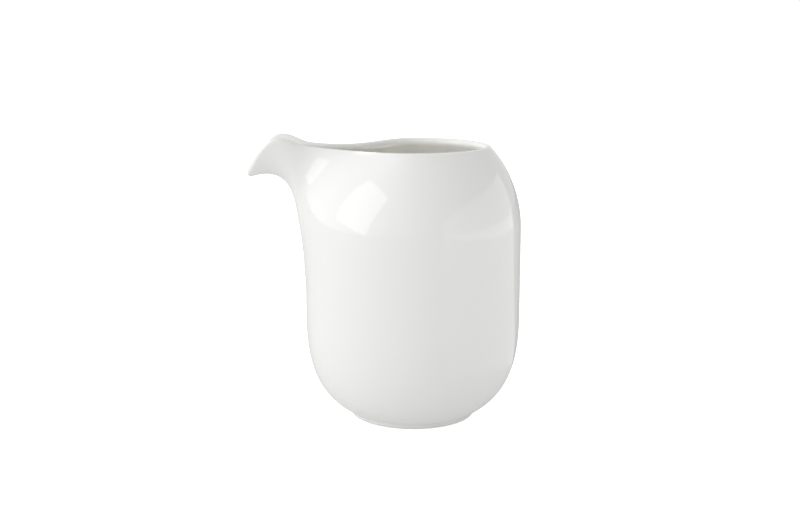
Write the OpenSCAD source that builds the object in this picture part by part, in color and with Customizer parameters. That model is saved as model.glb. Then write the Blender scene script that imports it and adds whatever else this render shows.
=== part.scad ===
// Porcelain cream jug: a round, thin-walled jug whose rim is drawn out on one
// side into a beak. Millimetres, +Z up, the foot's resting face at Z = 0, the
// axis of the round body at X = Y = 0, and the spout pointing to -X.

/* [Body] */
// Largest outside diameter, over the glaze
belly_d = 75; // [62:0.5:90]
// Height of the rim's crest at the back of the jug
rim_h = 95.2; // [84:0.2:115]
// Diameter of the mouth, between the crests of the rim
mouth_d = 51.2; // [42:0.2:58]
// Height where the upright wall starts to lean in to the shoulder
shoulder_z = 66.5; // [55:0.5:78]
// Height where the upright wall ends and the haunch rounds down to the foot
haunch_z = 35; // [26:0.5:45]
// Thickness of the wall with its glaze
wall = 3.2; // [2.6:0.1:4]
// Thickness of the floor with its glaze
floor_t = 3.6; // [2.8:0.1:5]
// Diameter of the flat part of the floor inside
floor_d = 26; // [16:0.5:34]

/* [Foot] */
// Outside diameter of the foot ring
foot_d = 44; // [36:0.2:52]
// Height of the foot ring, which is also the depth of the recess under it
foot_h = 1.4; // [1.2:0.1:3.5]
// Width of the foot ring
foot_w = 3; // [2.2:0.1:4.5]
// Rounding of the two edges that the ring rests on
foot_round = 0.5; // [0.3:0.1:0.6]
// Height of the bare band at the bottom of the ring
bare_h = 0.7; // [0.6:0.1:1]

/* [Spout] */
// Distance from the body's axis to the tip of the spout
spout_reach = 57.3; // [48:0.1:70]
// Height of the tip
tip_z = 85.4; // [76:0.1:98]
// Height of the two horns of the lip, the highest points of the jug
horn_z = 98.6; // [94:0.1:118]
// Distance from the axis to the horns
horn_x = 46.6; // [40:0.1:56]
// Width of the lip across its horns, between the crests
lip_w = 17; // [12:0.1:22]
// Width of the channel behind the lip, between the crests
channel_w = 14; // [10:0.1:18]
// Distance from the axis to the narrowest part of the channel
channel_x = 36; // [31:0.1:42]
// Height at which the spout's keel leaves the round wall
root_z = 44; // [38:0.5:52]
// Thickness of the lip at the tip, with its glaze
lip_t = 2.2; // [1.8:0.1:3]

/* [Glaze] */
// Thickness of the glaze coat
glaze_t = 0.25; // [0.15:0.05:0.4]

/* [Hidden] */

$fn = 96;
belly_r = belly_d / 2;
mouth_r = mouth_d / 2;
foot_r = foot_d / 2;
half = wall / 2;
crest_z = rim_h - half;              // centre of the rim's rounding
mid_r = belly_r - half;              // middle of the upright wall
mid_run = mid_r - mouth_r;           // how far the shoulder leans in
mid_rise = crest_z - shoulder_z;
mid_R = (pow(mid_run, 2) + pow(mid_rise, 2)) / (2 * mid_run);
shoulder_turn = 2 * atan(mid_run / mid_rise);

HAUNCH_STEPS = 14;
SHOULDER_STEPS = 14;
LIP_STEPS = 6;
foot_slope = 30;                     // slope of the haunch where it meets the foot
haunch_pull = 0.6;                   // share of haunch_z over which the haunch keeps upright
foot_pull = 10.5;                    // how far the haunch keeps its slope at the foot
bowl_pull = 0.55;                    // share of the bowl's width over which the floor stays level

// The spout's wall, from its seam at one side of the body to its tip
TIP_STEPS = 6;
HORN_STEPS = 4;
THROAT_STEPS = 12;
RISE_STEPS = 14;
seam_turn = 90;                      // the seams stand at right angles to the spout
swell = 0.14;                        // share of the reach that the lower wall takes up
swell_power = 1.3;
throw_power = 5;                     // how suddenly the upper wall turns outwards
drop_power = 9;                      // how late the tip bends down
eps = 0.002;

function unit(v) = v / norm(v);
function bezier(p, t) =
    pow(1 - t, 3) * p[0] + 3 * t * pow(1 - t, 2) * p[1] + 3 * t * t * (1 - t) * p[2] + pow(t, 3) * p[3];

// Half-profile of the round body, [radius, height], sunk by d under the glazed surface.
// It runs from the foot up the outside, over the rim and down the inside to the floor.
function haunch_out(d) = let (f = foot_r - d)
    [for (i = [0:HAUNCH_STEPS]) bezier([
        [f, foot_h],
        [f + foot_pull * cos(foot_slope), foot_h + foot_pull * sin(foot_slope)],
        [belly_r - d, haunch_z * (1 - haunch_pull)],
        [belly_r - d, haunch_z]], i / HAUNCH_STEPS)];
function shoulder(offset) = [for (i = [0:SHOULDER_STEPS])
    let (a = shoulder_turn * i / SHOULDER_STEPS)
    [mid_r - mid_R + (mid_R + offset) * cos(a), shoulder_z + (mid_R + offset) * sin(a)]];
function rim_bead(r) = [for (i = [1:LIP_STEPS - 1])
    let (a = shoulder_turn + 180 * i / LIP_STEPS)
    [mouth_r + r * cos(a), crest_z + r * sin(a)]];
function haunch_in(d) =
    let (top = belly_r - wall + d, low = foot_h + floor_t - d, flat = floor_d / 2)
    [for (i = [0:HAUNCH_STEPS]) bezier([
        [top, haunch_z],
        [top, haunch_z * (1 - haunch_pull)],
        [flat + (top - flat) * bowl_pull, low],
        [flat, low]], i / HAUNCH_STEPS)];
function reversed(v) = [for (i = [len(v) - 1:-1:0]) v[i]];
function skin(d) = concat(haunch_out(d), shoulder(half - d), rim_bead(half - d),
                          reversed(shoulder(d - half)), haunch_in(d));

// Middle of the wall at a share s of the way from the spout's root up to the rim
rise_straight = shoulder_z - root_z;
rise_total = rise_straight + mid_R * shoulder_turn * PI / 180;
function wall_mid(s) = let (way = s * rise_total)
    way < rise_straight
        ? [mid_r, root_z + way]
        : let (a = (way - rise_straight) / mid_R * 180 / PI)
          [mid_r - mid_R * (1 - cos(a)), shoulder_z + mid_R * sin(a)];

// The rim on the spout's side as three Bezier pieces of [x, y, z, turn]. turn is the
// angle from the spout round to the part of the wall that rises to that point of the rim.
horn_turn = 9;
throat_turn = 16;
horn_bead = 1.3;                     // half the lip's thickness at the horns
throat_lift = 0.8;                   // how far the rim has risen at the throat
tip_round = 0.3 * lip_w;             // these lengths say how gently each piece leaves its ends
tip_turn = 3;
horn_round = 4;
throat_round = 4;
throat_sweep = 19;
seam_sweep = 11;
tip = [-(spout_reach - lip_t / 2), 0, tip_z, 0];
horn = [-horn_x, lip_w / 2, horn_z - horn_bead, horn_turn];
throat = [-channel_x, channel_w / 2, crest_z + throat_lift, throat_turn];
seam = [0, mouth_r, crest_z, seam_turn];
past_horn = [-1, 0.05, -0.12, -0.4];
past_throat = [-1, 0, 0.12, -0.7];
past_seam = [-1, 0, 0, -180 / PI / mouth_r];
RIM = [
    [tip, tip + [0, tip_round, 0, tip_turn], horn + horn_round * past_horn, horn],
    [horn, horn - horn_round * past_horn, throat + throat_round * past_throat, throat],
    [throat, throat - throat_sweep * past_throat, seam + seam_sweep * past_seam, seam]];

// u runs from 0 at the tip to 3 at the seam, and is negative on the other side
function rim_at(u) = let (w = min(abs(u), 3), k = min(floor(w), 2), p = bezier(RIM[k], w - k), e = u < 0 ? -1 : 1)
    [p[0], e * p[1], p[2], e * p[3]];
function spout_mid(u, s) =
    let (p = rim_at(u), w = wall_mid(s),
         out = swell * pow(s, swell_power) + (1 - swell) * pow(s, throw_power),
         x0 = -mouth_r * cos(p[3]), y0 = mouth_r * sin(p[3]))
    [-w[0] * cos(p[3]) + (p[0] - x0) * out,
      w[0] * sin(p[3]) + (p[1] - y0) * out,
      w[1] + (p[2] - crest_z) * pow(s, drop_power)];
function spout_t(u, s) = wall - (wall - lip_t) * pow(cos(rim_at(u)[3]), 4) * pow(s, 6);

// Directions on the wall at (u, s): round the rim, up the wall and out of it.
// They lie in the seam's plane at the seam, and are level at the root.
function around(u, s) = unit(spout_mid(min(u + eps, 3), s) - spout_mid(max(u - eps, -3), s));
function upward(u, s) = unit(spout_mid(u, min(s + eps, 1)) - spout_mid(u, max(s - eps, 0)));
function outward(u, s) = let (n = cross(upward(u, s), around(u, s)))
    unit([abs(u) > 2.999 ? 0 : n[0], n[1], s < 0.001 ? 0 : n[2]]);

// One upright slice of the spout's wall, sunk by d under the glazed surface
function rise(i) = 1 - pow(1 - i / RISE_STEPS, 1.6);
function slice(u, d) = concat(
    [for (i = [0:RISE_STEPS]) let (s = rise(i)) spout_mid(u, s) + (spout_t(u, s) / 2 - d) * outward(u, s)],
    [for (i = [1:LIP_STEPS - 1])
        let (a = 180 * i / LIP_STEPS, n = outward(u, 1), top = unit(cross(around(u, 1), n)))
        spout_mid(u, 1) + (spout_t(u, 1) / 2 - d) * (cos(a) * n + sin(a) * top)],
    [for (i = [RISE_STEPS:-1:0]) let (s = rise(i)) spout_mid(u, s) - (spout_t(u, s) / 2 - d) * outward(u, s)]);
STATIONS = concat(
    [for (i = [0:TIP_STEPS - 1]) i / TIP_STEPS],
    [for (i = [0:HORN_STEPS - 1]) 1 + i / HORN_STEPS],
    [for (i = [0:THROAT_STEPS]) 2 + i / THROAT_STEPS]);
BOTH_SIDES = concat([for (i = [len(STATIONS) - 1:-1:1]) -STATIONS[i]], STATIONS);

// A closed solid through equal rings of points. Its two flat ends are filled by a strip
// that joins the first half of the ring to the second, which faces it. From the ring's
// point number under_from on, the facets are split along their other diagonal, so that
// the underside of a coat has the same facets as the solid that it lies on.
module loft(rings, under_from = 1000) {
    n = len(rings[0]);
    last = (len(rings) - 1) * n;
    strip = [for (j = [0:ceil(n / 2) - 2]) each
        [[j, j + 1, n - 1 - j], if (j + 1 < n - 2 - j) [j + 1, n - 2 - j, n - 1 - j]]];
    polyhedron(
        points = [for (ring = rings) for (p = ring) p],
        faces = concat(
            [for (k = [0:n:last - n]) for (j = [0:n - 1]) let (a = k + j, b = k + (j + 1) % n)
                each j < under_from
                    ? [[b, a, a + n], [b, a + n, b + n]]
                    : [[b, a, b + n], [a, a + n, b + n]]],
            strip,
            [for (t = strip) [last + t[2], last + t[1], last + t[0]]]),
        convexity = 10);
}

// The room that the spout's wall takes out of the round body
module spout_room() {
    reach = belly_r + 1;
    translate([-reach, -reach, root_z]) cube([reach, 2 * reach, rim_h]);
}

// Fired body: the round wall, its floor and the back half of the rim
module body() {
    color("ivory") difference() {
        rotate_extrude() polygon(concat(skin(glaze_t), [[0, foot_h + floor_t - glaze_t], [0, foot_h]]));
        spout_room();
    }
}

// Fired spout: the front half of the shoulder, drawn out into the beak
module spout() {
    color("oldlace") loft([for (u = BOTH_SIDES) slice(u, glaze_t)]);
}

// Turned foot ring under the floor
module foot_ring() {
    inner = foot_r - foot_w;
    outer = foot_r - glaze_t;
    color("linen") rotate_extrude() {
        translate([inner, foot_round]) square([outer - inner, foot_h - foot_round]);
        translate([inner + foot_round, 0]) square([outer - inner - 2 * foot_round, foot_h]);
        for (r = [inner + foot_round, outer - foot_round]) translate([r, foot_round]) circle(foot_round);
    }
}

// Glaze over the body, inside and out, and in the recess under its floor, which
// leaves only the bottom of the foot ring bare
module body_glaze() {
    inner = foot_r - foot_w;
    color("white") {
        difference() {
            rotate_extrude() polygon(concat(
                [[foot_r, bare_h]], skin(0), [[0, foot_h + floor_t]],
                [[0, foot_h + floor_t - glaze_t]], reversed(skin(glaze_t)), [[foot_r - glaze_t, bare_h]]));
            spout_room();
        }
        rotate_extrude() polygon([
            [0, foot_h - glaze_t], [inner - glaze_t, foot_h - glaze_t], [inner - glaze_t, bare_h],
            [inner, bare_h], [inner, foot_h], [0, foot_h]]);
    }
}

// The same coat where it runs on over the spout, inside and out
module spout_glaze() {
    color("white") loft([for (u = BOTH_SIDES) concat(slice(u, 0), reversed(slice(u, glaze_t)))],
        under_from = len(slice(0, glaze_t)));
}

body();
spout();
foot_ring();
body_glaze();
spout_glaze();
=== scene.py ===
# %% [markdown]
# # A porcelain cream jug
#
# The jug is one thin wall of white porcelain under a clear gloss glaze: a round body on a low foot ring,
# a shoulder that leans in to the mouth, and a rim that is drawn out on one side into a beak. The packed
# model already holds the fired body, the spout and the foot ring as solids. What is made here is what the
# eye meets: the glaze coat as one smooth skin, the bare foot, the materials and a soft studio around them.

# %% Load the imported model
import math

import bpy
import numpy as np
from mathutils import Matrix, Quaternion, Vector


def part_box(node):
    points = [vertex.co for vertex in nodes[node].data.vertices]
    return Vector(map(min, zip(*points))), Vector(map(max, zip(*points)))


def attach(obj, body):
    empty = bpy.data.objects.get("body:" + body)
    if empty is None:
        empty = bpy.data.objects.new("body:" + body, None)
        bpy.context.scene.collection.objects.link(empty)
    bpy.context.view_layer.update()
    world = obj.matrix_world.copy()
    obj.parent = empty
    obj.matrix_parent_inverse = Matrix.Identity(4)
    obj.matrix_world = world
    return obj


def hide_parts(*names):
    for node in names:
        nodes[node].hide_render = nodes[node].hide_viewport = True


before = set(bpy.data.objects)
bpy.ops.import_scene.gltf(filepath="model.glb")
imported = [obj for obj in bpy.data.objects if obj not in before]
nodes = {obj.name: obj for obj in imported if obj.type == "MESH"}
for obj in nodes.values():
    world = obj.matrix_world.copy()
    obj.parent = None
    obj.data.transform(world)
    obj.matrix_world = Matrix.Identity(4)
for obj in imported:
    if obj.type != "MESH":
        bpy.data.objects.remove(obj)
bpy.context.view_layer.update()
print("packed nodes:", sorted(nodes))

# %% [markdown]
# ## Sizes
#
# Every size is in metres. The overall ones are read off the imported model, so the skin fits the solids
# beneath it, and the ones that a box can't give are written out here once.

# %% Read the sizes of the jug
MM = 0.001
body_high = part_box("body_glaze")[1]
spout_low, spout_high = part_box("spout_glaze")
foot_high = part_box("foot_ring")[1]
glaze_t = 0.25 * MM                      # thickness of the coat
belly_r = body_high.y                    # largest radius
foot_r = foot_high.x + glaze_t           # outside of the foot, over the glaze
foot_h = foot_high.z                     # height of the ring
spout_reach = -spout_low.x               # axis to tip
horn_z = spout_high.z + 0.2 * MM         # the horns' control height, just above their tops
root_z = spout_low.z                     # where the spout leaves the wall
wall = 3.2 * MM                          # thickness of the wall
half = wall / 2
mouth_r = 25.6 * MM                      # middle of the rim
crest_z = 95.2 * MM - half               # centre of the rim's rounding
shoulder_z = 66.5 * MM                   # the wall starts to lean in
haunch_z = 35 * MM                       # the wall starts to round down to the foot
floor_z = foot_h + 3.6 * MM              # top of the floor inside
floor_r = 13 * MM                        # flat part of the floor
foot_w = 3 * MM                          # width of the ring
bare_h = 0.7 * MM                        # bare band at its bottom
foot_round = 0.5 * MM                    # rounding of the ring's two lower edges
print(f"belly {2 * belly_r / MM:.1f} mm, foot {2 * foot_r / MM:.1f} mm, reach {spout_reach / MM:.1f} mm")

# %% [markdown]
# ## Camera
#
# The jug is seen from a little above and slightly to the spout's side, through a short telephoto lens, so
# its upright sides stay nearly parallel.

# %% Place the camera
lens_mm = 56.39
tilt = math.radians(11.604)
camera_data = bpy.data.cameras.new("camera")
camera_data.lens = lens_mm
camera_data.clip_start = 0.01
camera = bpy.data.objects.new("camera", camera_data)
camera.location = (-4.517 * MM, -430.78 * MM, 141.35 * MM)
camera.rotation_euler = (math.pi / 2 - tilt, 0, 0)
bpy.context.scene.collection.objects.link(camera)
bpy.context.scene.camera = camera
print(f"camera {camera.location.length:.2f} m away, lens {lens_mm} mm")

# %% [markdown]
# ## The wall as a formula
#
# A potter throws the round wall first and then draws its rim out. The skin is made the same way: a
# half-profile is spun into a round jug, and each point of the front half is then moved outwards by the
# distance that its own piece of rim travels, little near the root and all of it at the rim. The helpers
# below say where a point of the wall goes.


# %% Curves of the wall
def bezier(points, t):
    """Point on a cubic Bezier curve, for points of any dimension."""
    a, b, c, d = (np.array(p, float) for p in points)
    return (1 - t) ** 3 * a + 3 * t * (1 - t) ** 2 * b + 3 * t * t * (1 - t) * c + t**3 * d


mid_r = belly_r - half
lean = mid_r - mouth_r
rise = crest_z - shoulder_z
shoulder_r = (lean**2 + rise**2) / (2 * lean)
shoulder_turn = 2 * math.atan(lean / rise)
straight = shoulder_z - root_z
climb = straight + shoulder_r * shoulder_turn
print(f"shoulder radius {shoulder_r / MM:.1f} mm, wall from root to rim {climb / MM:.1f} mm")


def wall_mid(s):
    """Radius and height of the round wall's middle, at a share s of the way from the root to the rim."""
    way = s * climb
    if way < straight:
        return mid_r, root_z + way
    turn = (way - straight) / shoulder_r
    return mid_r - shoulder_r * (1 - math.cos(turn)), shoulder_z + shoulder_r * math.sin(turn)


# %% The rim on the spout's side
# Each point of the rim is x, y, z and the turn in degrees, from the spout, of the wall that rises to it.
LIP_T = 2.2 * MM                         # the wall thins to this at the lip
tip = np.array([-(spout_reach - LIP_T / 2), 0, 85.4 * MM, 0])
horn = np.array([-46.6 * MM, 8.5 * MM, horn_z - 1.3 * MM, 9])
throat = np.array([-36 * MM, 7 * MM, crest_z + 0.8 * MM, 16])
seam = np.array([0, mouth_r, crest_z, 90])
past_horn = np.array([-MM, 0.05 * MM, -0.12 * MM, -0.4])
past_throat = np.array([-MM, 0, 0.12 * MM, -0.7])
past_seam = np.array([-MM, 0, 0, -math.degrees(MM / mouth_r)])
RIM = [
    [tip, tip + np.array([0, 5.1 * MM, 0, 3]), horn + 4 * past_horn, horn],
    [horn, horn - 4 * past_horn, throat + 4 * past_throat, throat],
    [throat, throat - 19 * past_throat, seam + 11 * past_seam, seam],
]
SWELL, SWELL_POWER = 0.14, 1.3           # share of the reach that the lower wall takes up, and how soon
THROW_POWER, DROP_POWER = 5, 9           # how late the wall turns outwards, and how late the tip drops


def rim_at(u):
    """Rim at station u: 0 is the tip, 1 the horn, 2 the throat, 3 the seam, and the far side is negative."""
    side = -1 if u < 0 else 1
    u = min(abs(u), 3)
    piece = min(int(u), 2)
    p = bezier(RIM[piece], u - piece)
    return np.array([p[0], side * p[1], p[2], side * p[3]])


def spout_mid(u, s):
    """Middle of the spout's wall at station u and share s of the climb."""
    rim = rim_at(u)
    turn = math.radians(rim[3])
    r, z = wall_mid(s)
    out = SWELL * s**SWELL_POWER + (1 - SWELL) * s**THROW_POWER
    return np.array([
        -r * math.cos(turn) + (rim[0] + mouth_r * math.cos(turn)) * out,
        r * math.sin(turn) + (rim[1] - mouth_r * math.sin(turn)) * out,
        z + (rim[2] - crest_z) * s**DROP_POWER,
    ])


def spout_point(u, s, bead):
    """Point of the spout's skin: bead is 0 outside, 180 inside, and between them over the rim."""
    step = 0.001                         # of a station, and of the climb
    around = spout_mid(min(u + step, 3), s) - spout_mid(max(u - step, -3), s)
    upward = spout_mid(u, min(s + step, 1)) - spout_mid(u, max(s - step, 0))
    outward = np.cross(upward, around)
    if s < step:                         # the root stays in line with the upright wall below it
        outward[2] = 0
    outward /= np.linalg.norm(outward)
    crest = np.cross(around, outward)
    crest /= np.linalg.norm(crest)
    thin = math.cos(math.radians(rim_at(u)[3])) ** 4 * s**6
    a = math.radians(bead)
    reach = (wall - (wall - LIP_T) * thin) / 2
    return spout_mid(u, s) + reach * (math.cos(a) * outward + math.sin(a) * crest)


print("tip of the spout, mm:", np.round(spout_point(0, 1, 60) / MM, 1))

# %% [markdown]
# ## Throwing the wall
#
# The half-profile is drawn as on paper: one vertex is extruded from point to point, from the foot up the
# outside, over the rim and down the inside. Two attributes, the climb and the bead angle, are written on its
# vertices, and Spin copies them round with the rest, so every point of the round jug still knows which part
# of the wall it is.

# %% The half-profile
HAUNCH_STEPS, WALL_STEPS, SHOULDER_STEPS, BEAD_STEPS = 20, 10, 26, 12
foot_slope = math.radians(30)            # slope of the haunch where it meets the foot
foot_pull = 10.5 * MM                    # how far it keeps that slope
haunch_pull = 0.4                        # share of haunch_z from which the haunch is upright again
bowl_pull = 0.55                         # share of the bowl's width over which the floor stays level


def haunch_outside():
    end = (foot_r, foot_h)
    curve = [
        end,
        (end[0] + foot_pull * math.cos(foot_slope), end[1] + foot_pull * math.sin(foot_slope)),
        (belly_r, haunch_z * haunch_pull),
        (belly_r, haunch_z),
    ]
    return [tuple(bezier(curve, i / HAUNCH_STEPS)) for i in range(HAUNCH_STEPS + 1)]


def haunch_inside():
    top = belly_r - wall
    curve = [
        (top, haunch_z),
        (top, haunch_z * haunch_pull),
        (floor_r + (top - floor_r) * bowl_pull, floor_z),
        (floor_r, floor_z),
    ]
    return [tuple(bezier(curve, i / HAUNCH_STEPS)) for i in range(HAUNCH_STEPS + 1)]


def climb_shares():
    """Shares of the climb, the closer together the nearer to the rim, where the spout turns outwards."""
    count = WALL_STEPS + SHOULDER_STEPS
    return [1 - (1 - i / count) ** 1.5 for i in range(count + 1)]


def wall_point(s, bead):
    r, z = wall_mid(s)
    lean_now = max(0, (s * climb - straight) / shoulder_r)
    a = lean_now + math.radians(bead)
    return r + half * math.cos(a), z + half * math.sin(a)


profile = [(r, z, -1, 0) for r, z in [(foot_r, bare_h), (foot_r, (bare_h + foot_h) / 2)] + haunch_outside()]
profile += [(*wall_point(s, 0), s, 0) for s in climb_shares()]
profile += [(*wall_point(1, 180 * i / BEAD_STEPS), 1, 180 * i / BEAD_STEPS) for i in range(1, BEAD_STEPS)]
profile += [(*wall_point(s, 180), s, 180) for s in reversed(climb_shares())]
profile += [(r, z, -1, 180) for r, z in haunch_inside()]
profile += [(floor_r * k, floor_z, -1, 180) for k in (0.75, 0.5, 0.25, 0.08, 0)]
print(len(profile), "points in the half-profile")


# %% Drawing and spinning a profile
def only(obj):
    """Makes obj the one selected and active object."""
    bpy.ops.object.select_all(action="DESELECT")
    obj.select_set(True)
    bpy.context.view_layer.objects.active = obj


def drawn_profile(name, points):
    """A line of vertices through the points, made by extruding one vertex along them."""
    bpy.ops.object.select_all(action="DESELECT")
    bpy.ops.mesh.primitive_plane_add(size=MM, location=(0, 0, 0))
    line = bpy.context.object
    line.name = line.data.name = name
    bpy.ops.object.mode_set(mode="EDIT")
    bpy.ops.mesh.merge(type="CENTER")
    here = Vector((0, 0, 0))
    for i, (r, z) in enumerate(points):
        there = Vector((r, 0, z))
        if i == 0:
            bpy.ops.transform.translate(value=there - here)
        else:
            bpy.ops.mesh.extrude_region_move(TRANSFORM_OT_translate={"value": there - here})
        here = there
    bpy.ops.object.mode_set(mode="OBJECT")
    return line


def spun(line, columns):
    """Spins the line round the jug's axis and closes it on itself."""
    only(line)
    bpy.ops.object.mode_set(mode="EDIT")
    bpy.ops.mesh.select_all(action="SELECT")
    bpy.ops.mesh.spin(steps=columns, angle=2 * math.pi, center=(0, 0, 0), axis=(0, 0, 1))
    bpy.ops.mesh.select_all(action="SELECT")
    bpy.ops.mesh.remove_doubles(threshold=0.01 * MM)
    bpy.ops.mesh.normals_make_consistent(inside=False)
    bpy.ops.object.mode_set(mode="OBJECT")
    bpy.ops.object.shade_smooth()
    return line


# %% The round jug
COLUMNS = 144
glaze_skin = drawn_profile("glaze_skin", [(r, z) for r, z, s, bead in profile])
climb_mark = glaze_skin.data.attributes.new("climb", "FLOAT", "POINT")
bead_mark = glaze_skin.data.attributes.new("bead", "FLOAT", "POINT")
climb_mark.data.foreach_set("value", [s for r, z, s, bead in profile])
bead_mark.data.foreach_set("value", [bead for r, z, s, bead in profile])
spun(glaze_skin, COLUMNS)
print(len(glaze_skin.data.vertices), "vertices in the round skin")

# %% [markdown]
# ## Drawing out the spout
#
# Every vertex of the front half now moves to its place on the spout's wall. Below the root the wall stays
# round, and its columns only slide along it, so that they stand where the spout needs them: close together
# under the lip and further apart at the sides. This is done vertex by vertex, because the beak's long, thin
# lip is more than a sculpting tool's single falloff can describe.

# %% Pull the rim out
# Degrees of the round rim that become the horn, the throat and the seam
LIP_TURN, THROAT_TURN, SEAM_TURN = 24, 40, 90


def station(turn):
    """Station along the spout's rim for a column at this many degrees from the spout."""
    return float(np.interp(turn, (0, LIP_TURN, THROAT_TURN, SEAM_TURN), (0, 1, 2, 3)))


def eased(x):
    """Rises smoothly from 0 to 1."""
    x = min(max(x, 0), 1)
    return x * x * (3 - 2 * x)


def pull_spout(skin):
    """Moves the front half's vertices to the spout, and says how many went onto its wall."""
    mesh = skin.data
    climbs = np.zeros(len(mesh.vertices), np.float32)
    beads = np.zeros(len(mesh.vertices), np.float32)
    mesh.attributes["climb"].data.foreach_get("value", climbs)
    mesh.attributes["bead"].data.foreach_get("value", beads)
    moved = 0
    for v, s, bead in zip(mesh.vertices, climbs, beads):
        r = math.hypot(v.co.x, v.co.y)
        turn = math.degrees(math.atan2(v.co.y, -v.co.x))
        if r < floor_r / 2 or abs(turn) > SEAM_TURN - 0.01:
            continue
        u = math.copysign(station(abs(turn)), turn)
        if s >= 0:
            v.co = spout_point(u, float(s), float(bead))
            moved += 1
        else:
            slid = math.radians(turn + (rim_at(u)[3] - turn) * eased(v.co.z / root_z))
            v.co.x, v.co.y = -r * math.cos(slid), r * math.sin(slid)
    mesh.update()
    return moved


print(pull_spout(glaze_skin), "vertices drawn out into the spout")

# %% [markdown]
# ## The coat
#
# Solidify turns the skin into a real coat, 0.25 mm thick, that grows inwards onto the fired clay. Its lower
# edge ends above the bottom of the foot, where a potter wipes the glaze off so that the jug doesn't stick to
# the kiln shelf. The recess under the floor gets its own small skin, and the two are joined as one coat.

# %% The recess and the finished coat
foot_in = foot_r - foot_w
recess_z = foot_h - glaze_t
recess_line = [(foot_in - glaze_t, bare_h), (foot_in - glaze_t, recess_z - glaze_t)]
recess_line += [(r, recess_z) for r in (foot_in - glaze_t * 2, foot_in * 0.6, foot_in * 0.2, 0)]
recess = spun(drawn_profile("recess_glaze", recess_line), COLUMNS)


def thickened(obj, thickness):
    """Gives a skin its thickness, inwards from the seen face."""
    only(obj)
    coat = obj.modifiers.new("coat", "SOLIDIFY")
    coat.thickness = thickness
    coat.offset = -1
    coat.use_rim = True
    bpy.ops.object.modifier_apply(modifier=coat.name)


def turned_out(obj, downwards=False):
    """Flips all faces if the outermost one looks inwards, or the lowest one upwards."""
    faces = obj.data.polygons
    if downwards:
        seen = -min(faces, key=lambda f: f.center.z).normal.z
    else:
        outermost = max(faces, key=lambda f: math.hypot(*f.center.xy))
        seen = outermost.normal.xy.dot(outermost.center.xy)
    if seen < 0:
        only(obj)
        bpy.ops.object.mode_set(mode="EDIT")
        bpy.ops.mesh.select_all(action="SELECT")
        bpy.ops.mesh.flip_normals()
        bpy.ops.object.mode_set(mode="OBJECT")
    return seen


print("faces look outwards by", round(turned_out(glaze_skin), 4), round(turned_out(recess, True), 4))
thickened(glaze_skin, glaze_t)
thickened(recess, glaze_t)
only(glaze_skin)
recess.select_set(True)
bpy.ops.object.join()
glaze_skin.name = glaze_skin.data.name = "glaze_coat"
print(len(glaze_skin.data.polygons), "faces in the coat")

# %% [markdown]
# ## Foot ring
#
# The ring is turned on the wheel from the same clay and is the one place where the bare body shows. Its
# section is a small block with its two lower edges eased, spun like the wall.

# %% The foot ring
foot_out = foot_r - glaze_t
CORNER_STEPS = 6
corner = [math.radians(90 * i / CORNER_STEPS) for i in range(CORNER_STEPS + 1)]
ring_line = [(foot_in, foot_h), (foot_in, foot_h * 0.6)]
ring_line += [(foot_in + foot_round * (1 - math.cos(a)), foot_round * (1 - math.sin(a))) for a in corner]
ring_line += [(foot_out - foot_round * (1 - math.sin(a)), foot_round * (1 - math.cos(a))) for a in corner]
ring_line += [(foot_out, foot_h * 0.6), (foot_out, foot_h), (foot_in, foot_h)]
foot = spun(drawn_profile("turned_foot", ring_line), COLUMNS)
turned_out(foot)
print(len(foot.data.polygons), "faces in the foot ring")

# %% [markdown]
# ## Materials
#
# The glaze is a clear glossy glass over white clay. It is never quite flat: it keeps a faint waviness from
# the firing, and it gathers a little where the foot stops it. Inside the jug, below the rim, its colour is
# painted lighter and warmer: a painted glow for the light that shines through the thin wall.
# The bare clay has a fine, dry grain instead. Waviness and grain are node groups, so that each material uses
# them at its own strength.


# %% Node helpers
def group_sockets(group, inputs, outputs):
    """Gives a node group its inputs and outputs, and returns the nodes that hold them."""
    for name, kind, value in inputs:
        socket = group.interface.new_socket(name=name, in_out="INPUT", socket_type=kind)
        socket.default_value = value
    for name, kind in outputs:
        group.interface.new_socket(name=name, in_out="OUTPUT", socket_type=kind)
    return group.nodes.new("NodeGroupInput"), group.nodes.new("NodeGroupOutput")


def noise(group, coords, scale, detail, roughness=0.5):
    """Noise whose scale comes from a socket."""
    node = group.nodes.new("ShaderNodeTexNoise")
    node.inputs["Detail"].default_value = detail
    node.inputs["Roughness"].default_value = roughness
    group.links.new(coords, node.inputs["Vector"])
    group.links.new(scale, node.inputs["Scale"])
    return node.outputs["Fac"]


def ranged(group, value, low, high, to_low, to_high):
    """The value, moved from the range low to high into the range to_low to to_high."""
    node = group.nodes.new("ShaderNodeMapRange")
    node.inputs["From Min"].default_value = low
    node.inputs["From Max"].default_value = high
    node.inputs["To Min"].default_value = to_low
    node.inputs["To Max"].default_value = to_high
    group.links.new(value, node.inputs["Value"])
    return node.outputs["Result"]


def blended(group, factor, first, second):
    """Mixes two colours, each a socket or a plain colour."""
    node = group.nodes.new("ShaderNodeMix")
    node.data_type = "RGBA"
    group.links.new(factor, node.inputs["Factor"])
    for name, colour in (("A", first), ("B", second)):
        socket = [i for i in node.inputs if i.name == name and i.type == "RGBA"][0]
        if isinstance(colour, bpy.types.NodeSocket):
            group.links.new(colour, socket)
        else:
            socket.default_value = colour
    return [o for o in node.outputs if o.type == "RGBA"][0]


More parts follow.
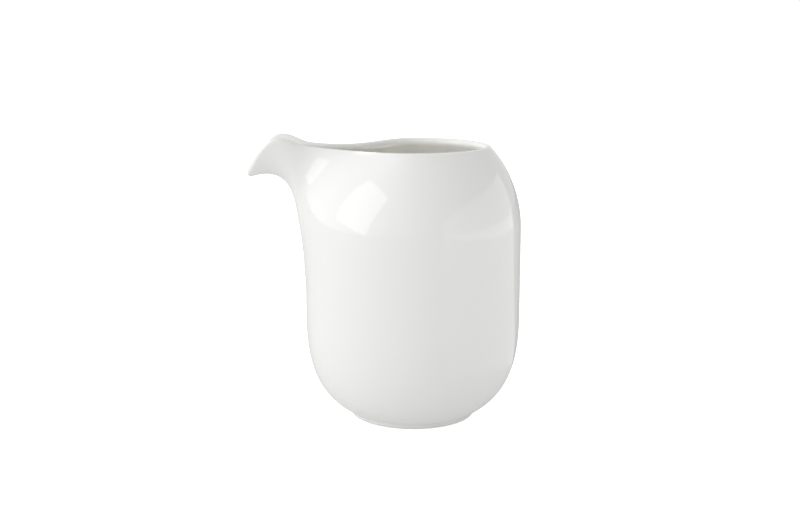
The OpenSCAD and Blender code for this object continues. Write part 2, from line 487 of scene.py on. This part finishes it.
# %% Grain: fine, dry clay
def grain_group():
    """Colour between two tints, and a height, both from fine noise."""
    group = bpy.data.node_groups.new("clay_grain", "ShaderNodeTree")
    source, sink = group_sockets(
        group,
        [("Scale", "NodeSocketFloat", 1500.0), ("Light", "NodeSocketColor", (1, 1, 1, 1)),
         ("Dark", "NodeSocketColor", (0.8, 0.8, 0.8, 1)), ("Amount", "NodeSocketFloat", 0.5)],
        [("Color", "NodeSocketColor"), ("Height", "NodeSocketFloat")])
    place = group.nodes.new("ShaderNodeTexCoord").outputs["Object"]
    fine = noise(group, place, source.outputs["Scale"], 4, 0.7)
    share = group.nodes.new("ShaderNodeMath")
    share.operation = "MULTIPLY"
    group.links.new(fine, share.inputs[0])
    group.links.new(source.outputs["Amount"], share.inputs[1])
    tint = blended(group, share.outputs[0], source.outputs["Light"], source.outputs["Dark"])
    group.links.new(tint, sink.inputs["Color"])
    group.links.new(fine, sink.inputs["Height"])
    return group


# %% Waviness: a fired glaze
def wave_group():
    """A height that rises and falls gently, and a roughness that follows it a little."""
    group = bpy.data.node_groups.new("glaze_waviness", "ShaderNodeTree")
    source, sink = group_sockets(
        group,
        [("Wave Scale", "NodeSocketFloat", 60.0), ("Peel Scale", "NodeSocketFloat", 900.0),
         ("Roughness Low", "NodeSocketFloat", 0.04), ("Roughness High", "NodeSocketFloat", 0.09)],
        [("Height", "NodeSocketFloat"), ("Roughness", "NodeSocketFloat")])
    place = group.nodes.new("ShaderNodeTexCoord").outputs["Object"]
    wave = noise(group, place, source.outputs["Wave Scale"], 1)
    peel = noise(group, place, source.outputs["Peel Scale"], 2)
    peel_share = ranged(group, peel, 0, 1, 0, 0.04)
    height = group.nodes.new("ShaderNodeMath")
    height.operation = "ADD"
    group.links.new(wave, height.inputs[0])
    group.links.new(peel_share, height.inputs[1])
    rough = group.nodes.new("ShaderNodeMapRange")
    group.links.new(wave, rough.inputs["Value"])
    rough.inputs["From Min"].default_value = 0.3
    rough.inputs["From Max"].default_value = 0.7
    group.links.new(source.outputs["Roughness Low"], rough.inputs["To Min"])
    group.links.new(source.outputs["Roughness High"], rough.inputs["To Max"])
    group.links.new(height.outputs[0], sink.inputs["Height"])
    group.links.new(rough.outputs["Result"], sink.inputs["Roughness"])
    return group


grain = grain_group()
waviness = wave_group()
print("node groups:", grain.name, waviness.name)


# %% Material helpers
def new_material(name):
    """A new material, its node tree and its main shader."""
    material = bpy.data.materials.new(name)
    material.use_nodes = True
    return material, material.node_tree, material.node_tree.nodes["Principled BSDF"]


def placed_group(tree, group, **values):
    """Places a node group in a tree, with its inputs set by name."""
    node = tree.nodes.new("ShaderNodeGroup")
    node.node_tree = group
    for name, value in values.items():
        node.inputs[name.replace("_", " ")].default_value = value
    return node


def bumped(tree, shader, height, distance, strength=1.0):
    """Lets a height in 0..1, worth this distance, tilt the shader's normal."""
    bump = tree.nodes.new("ShaderNodeBump")
    bump.inputs["Strength"].default_value = strength
    bump.inputs["Distance"].default_value = distance
    tree.links.new(height, bump.inputs["Height"])
    tree.links.new(bump.outputs["Normal"], shader.inputs["Normal"])


# %% Glaze
GLAZE_LIGHT, GLAZE_DARK = (0.935, 0.932, 0.915, 1), (0.915, 0.912, 0.89, 1)
GATHERED_TINT = (0.905, 0.91, 0.895, 1)   # where the glaze gathers above the foot
# Painted glow: the inside's colour, lighter and warmer than the glaze outside, stands in for light shining
# through the thin wall
INSIDE_PAINTED_GLOW = (0.965, 0.955, 0.905, 1)
GATHERED_HEIGHT, GATHERED_SHARE = 3 * MM, 0.55
# Bead angles and depth below the rim over which that painted glow comes in
INSIDE_GLOW_FROM, INSIDE_GLOW_FULL = 60, 170        # bead angles over which the inside's tint comes in
INSIDE_GLOW_DEPTH = 8 * MM                     # and the depth below the rim that it takes
WAVE_HEIGHT = 0.07 * MM


def glaze_material():
    material, tree, shader = new_material("white_glaze")
    wave = placed_group(
        tree, waviness, Wave_Scale=55, Peel_Scale=1100, Roughness_Low=0.03, Roughness_High=0.07)
    clay = placed_group(tree, grain, Scale=130, Amount=0.6, Light=GLAZE_LIGHT, Dark=GLAZE_DARK)
    place = tree.nodes.new("ShaderNodeTexCoord")
    split = tree.nodes.new("ShaderNodeSeparateXYZ")
    tree.links.new(place.outputs["Object"], split.inputs["Vector"])
    gathered = ranged(tree, split.outputs["Z"], foot_h, foot_h + GATHERED_HEIGHT, GATHERED_SHARE, 0)
    # Painted glow: the inside, deeper than a little below the rim, is mixed towards the lighter, warmer
    # colour
    bead_reader = tree.nodes.new("ShaderNodeAttribute")
    bead_reader.attribute_name = "bead"
    inside = ranged(tree, bead_reader.outputs["Fac"], INSIDE_GLOW_FROM, INSIDE_GLOW_FULL, 0, 1)
    deep = ranged(tree, split.outputs["Z"], crest_z, crest_z - INSIDE_GLOW_DEPTH, 0, 1)
    painted_glow_mask = tree.nodes.new("ShaderNodeMath")
    painted_glow_mask.operation = "MULTIPLY"
    tree.links.new(inside, painted_glow_mask.inputs[0])
    tree.links.new(deep, painted_glow_mask.inputs[1])
    colour = blended(tree, gathered, clay.outputs["Color"], GATHERED_TINT)
    colour = blended(tree, painted_glow_mask.outputs[0], colour, INSIDE_PAINTED_GLOW)
    tree.links.new(colour, shader.inputs["Base Color"])
    tree.links.new(wave.outputs["Roughness"], shader.inputs["Roughness"])
    shader.inputs["IOR"].default_value = 1.52
    shader.inputs["Coat Weight"].default_value = 0.35
    shader.inputs["Coat Roughness"].default_value = 0.02
    bumped(tree, shader, wave.outputs["Height"], WAVE_HEIGHT)
    return material


# %% Bare clay
def bare_clay_material(name, light, dark, rough, relief):
    material, tree, shader = new_material(name)
    clay = placed_group(tree, grain, Scale=1700, Amount=0.8, Light=light, Dark=dark)
    tree.links.new(clay.outputs["Color"], shader.inputs["Base Color"])
    shader.inputs["Roughness"].default_value = rough
    shader.inputs["IOR"].default_value = 1.45
    bumped(tree, shader, clay.outputs["Height"], relief, 0.6)
    return material


glaze = glaze_material()
biscuit = bare_clay_material(
    "fired_biscuit", light=(0.86, 0.85, 0.81, 1), dark=(0.78, 0.765, 0.72, 1), rough=0.75, relief=0.03 * MM)
bare_foot = bare_clay_material(
    "polished_bare_foot", light=(0.90, 0.89, 0.865, 1), dark=(0.80, 0.785, 0.75, 1), rough=0.55,
    relief=0.05 * MM)
print("materials:", [m.name for m in (glaze, biscuit, bare_foot)])


# %% Give each piece its finish
def finished(obj, material):
    """Gives a piece one material, and the material slot that it stands for."""
    obj.data.materials.clear()
    obj.data.materials.append(material)
    for face in obj.data.polygons:
        face.material_index = 0


finished(glaze_skin, glaze)
finished(foot, bare_foot)
for piece in ("body", "spout"):
    for material_slot in nodes[piece].material_slots:
        material_slot.material = biscuit
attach(glaze_skin, "root")
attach(foot, "root")
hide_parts("body_glaze", "spout_glaze")
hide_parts("foot_ring")
print("glaze coat and foot ring stand for the packed ones")

# %% [markdown]
# ## Studio
#
# White porcelain shows only what it reflects, so the studio is built round it. The table is a lit white sheet
# that is pure white to the camera and glows less towards the jug. A sector of it on the right is lighter, and
# the next one, behind the jug, is darker: together they draw the dark line down the jug's right edge. The
# table is clear from below, so that the foot can be looked at from there too. A plain white plane would be
# simpler, but it would show a grey shadow and leave out that line.


# %% Table
def table_material():
    """White to the camera, a dimmer glow in sectors to everything else, and clear from below."""
    material, tree, shader = new_material("pale_floor")
    shader.inputs["Base Color"].default_value = (0.93, 0.93, 0.93, 1)
    shader.inputs["Roughness"].default_value = 0.9
    shader.inputs["Emission Color"].default_value = (1, 1, 1, 1)
    shader.inputs["Emission Strength"].default_value = SEEN_GLOW
    place = tree.nodes.new("ShaderNodeTexCoord")
    split = tree.nodes.new("ShaderNodeSeparateXYZ")
    tree.links.new(place.outputs["Object"], split.inputs["Vector"])
    bearing = tree.nodes.new("ShaderNodeMath")
    bearing.operation = "ARCTAN2"
    tree.links.new(split.outputs["Y"], bearing.inputs[0])
    tree.links.new(split.outputs["X"], bearing.inputs[1])
    distance = tree.nodes.new("ShaderNodeVectorMath")
    distance.operation = "LENGTH"
    tree.links.new(place.outputs["Object"], distance.inputs[0])
    beyond = ranged(tree, distance.outputs["Value"], SECTORS_FROM, SECTORS_FULL, 0, 1)
    colour = FELT_PLAIN
    for middle, half_width, sector_colour in FELT_SECTORS:
        within = tree.nodes.new("ShaderNodeMath")
        within.operation = "COMPARE"
        tree.links.new(bearing.outputs[0], within.inputs[0])
        within.inputs[1].default_value = math.radians(middle)
        within.inputs[2].default_value = math.radians(half_width)
        sector = tree.nodes.new("ShaderNodeMath")
        sector.operation = "MULTIPLY"
        tree.links.new(within.outputs[0], sector.inputs[0])
        tree.links.new(beyond, sector.inputs[1])
        colour = blended(tree, sector.outputs[0], colour, sector_colour)
    glow = tree.nodes.new("ShaderNodeEmission")
    tree.links.new(colour, glow.inputs["Color"])
    bounce = tree.nodes.new("ShaderNodeBsdfDiffuse")
    bounce.inputs["Color"].default_value = (0.4, 0.4, 0.4, 1)
    felt = tree.nodes.new("ShaderNodeAddShader")
    tree.links.new(bounce.outputs["BSDF"], felt.inputs[0])
    tree.links.new(glow.outputs["Emission"], felt.inputs[1])
    path = tree.nodes.new("ShaderNodeLightPath").outputs["Is Camera Ray"]
    back = tree.nodes.new("ShaderNodeNewGeometry").outputs["Backfacing"]
    clear = tree.nodes.new("ShaderNodeBsdfTransparent").outputs["BSDF"]
    above = mixed_shader(tree, path, felt.outputs["Shader"], shader.outputs["BSDF"])
    tree.links.new(mixed_shader(tree, back, above, clear), tree.nodes["Material Output"].inputs["Surface"])
    return material


def mixed_shader(tree, factor, first, second):
    """The first shader where the factor is 0, and the second where it is 1."""
    node = tree.nodes.new("ShaderNodeMixShader")
    tree.links.new(factor, node.inputs["Fac"])
    tree.links.new(first, node.inputs[1])
    tree.links.new(second, node.inputs[2])
    return node.outputs["Shader"]


SEEN_GLOW = 0.6                          # the table's own light as the camera sees it
FELT_PLAIN = (0.353, 0.353, 0.353, 1)    # its light on the jug
FELT_SECTORS = [                         # middle and half width in degrees from +X, and light
    (-10, 48, (0.57, 0.57, 0.57, 1)),
    (61, 23, (0.147, 0.147, 0.147, 1)),
]
SECTORS_FROM, SECTORS_FULL = 0.06, 0.072    # distances from the jug's axis over which the sectors set in
TABLE_RADIUS = 6
bpy.ops.object.select_all(action="DESELECT")
bpy.ops.mesh.primitive_circle_add(vertices=96, radius=TABLE_RADIUS, fill_type="NGON")
floor = bpy.context.object
floor.name = "studio_floor"
floor.data.materials.append(table_material())
print("table", tuple(round(d, 1) for d in floor.dimensions), "m")

# %% [markdown]
# ## Lights
#
# A softbox to the left and in front makes the bright patch on the shoulder, and a long white panel to the
# right lights that side and shows in the glaze as a paler field. Both are area lights: what a mirror would
# show of them is their radiance, so that is what is set, and their power follows from their size. A narrow
# beam from the front left goes in at the mouth and lights the wall below the rim, because a deep white
# vessel would otherwise look darker inside than porcelain does.


# %% Lights
def area_light(name, place, aim, width, height, radiance, roll=0):
    """A one-sided rectangular light, turned by roll degrees about its own axis."""
    data = bpy.data.lights.new(name, "AREA")
    data.shape = "RECTANGLE"
    data.size = width
    data.size_y = height
    data.energy = radiance * math.pi * width * height
    hung(data, place, aim, roll)


def hung(data, place, aim, roll=0):
    """Hangs a light at a place, looking at aim, where the camera can't see it."""
    light = bpy.data.objects.new(data.name, data)
    light.location = place
    facing = (Vector(aim) - Vector(place)).to_track_quat("-Z", "Y")
    light.rotation_euler = (facing @ Quaternion((0, 0, 1), math.radians(roll))).to_euler()
    light.visible_camera = False
    bpy.context.scene.collection.objects.link(light)


middle = (0, 0, 0.06)                    # a little above the middle of the jug
area_light(
    "softbox", place=(-0.765, -0.36, 0.42), aim=middle, width=0.66, height=0.66, radiance=1.27, roll=-16)
area_light(
    "white_panel", place=(0.5, -0.22, 0.13), aim=(0, -0.22, 0.13), width=1.24, height=0.3, radiance=0.5)
beam = bpy.data.lights.new("beam_into_mouth", "SPOT")
beam.energy = 64
beam.spot_size = math.radians(2.4)
beam.spot_blend = 1
beam.shadow_soft_size = 0.002
hung(beam, place=(-0.33, -0.36, crest_z + 0.36), aim=(13 * MM, 16 * MM, crest_z - 17 * MM))

# %% [markdown]
# ## Surroundings
#
# The room itself is a soft gradient, bright on the left and dark on the right. A Light Path node shows plain
# white to the camera in its place, as a backdrop that is lit on its own would look.

# %% The room
BRIGHT_SIDE = (-0.92, 0.16, -0.35)       # the direction that the room is brightest in
DARK_ROOM, BRIGHT_ROOM, BACKDROP = 0.36, 1.33, 1.05
world = bpy.data.worlds.new("studio")
world.use_nodes = True
bpy.context.scene.world = world
room = world.node_tree
room.nodes.clear()
towards = room.nodes.new("ShaderNodeVectorMath")
towards.operation = "DOT_PRODUCT"
towards.inputs[1].default_value = BRIGHT_SIDE
room.links.new(room.nodes.new("ShaderNodeTexCoord").outputs["Generated"], towards.inputs[0])
gradient = room.nodes.new("ShaderNodeBackground")
strength = ranged(room, towards.outputs["Value"], -1, 1, DARK_ROOM, BRIGHT_ROOM)
room.links.new(strength, gradient.inputs["Strength"])
backdrop = room.nodes.new("ShaderNodeBackground")
backdrop.inputs["Strength"].default_value = BACKDROP
for light_source in (gradient, backdrop):
    light_source.inputs["Color"].default_value = (1, 1, 1, 1)
seen = room.nodes.new("ShaderNodeLightPath").outputs["Is Camera Ray"]
shown = mixed_shader(room, seen, gradient.outputs["Background"], backdrop.outputs["Background"])
room.links.new(shown, room.nodes.new("ShaderNodeOutputWorld").inputs["Surface"])
bpy.context.scene.view_settings.view_transform = "Standard"
print("room from", DARK_ROOM, "to", BRIGHT_ROOM)
